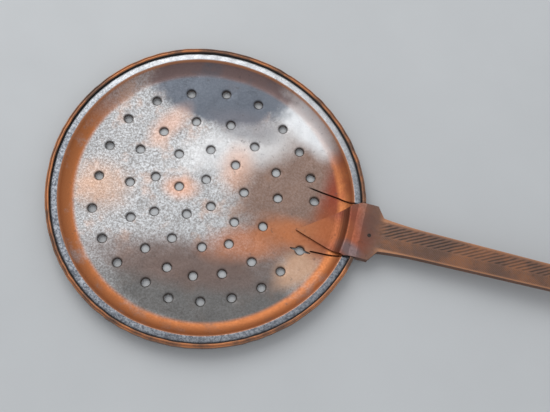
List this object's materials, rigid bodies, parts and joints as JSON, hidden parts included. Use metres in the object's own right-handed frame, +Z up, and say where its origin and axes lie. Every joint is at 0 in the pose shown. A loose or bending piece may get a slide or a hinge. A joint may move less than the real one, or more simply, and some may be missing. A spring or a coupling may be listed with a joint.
{
  "type": "skimmer",
  "caption": "Long-handled kitchen skimmer: a shallow round perforated copper bowl with a raised hammered edge, and a forged handle brazed on by a cleft root, ending in a hook.",
  "frame": {"origin": "centre of the level middle of the bowl's underside, on the surface that the skimmer lies on", "axes": "+Z up out of the bowl, +X along the handle towards the hook"},
  "size_m": [0.5, 0.18, 0.0241],
  "materials": {
    "tinned_copper": "old copper sheet with worn tinning inside, bare orange copper where it has gone",
    "forged_copper": "brown patinated copper, engraved with chevrons, bright along the worn edges",
    "brazing": "dull spelter",
    "iron": "dark and dull"
  },
  "bodies": {
    "root": {"bowl": "tinned_copper", "handle": "forged_copper", "upper_braze": "brazing", "lower_braze": "brazing", "root_pin": "iron"}
  },
  "joints": []
}
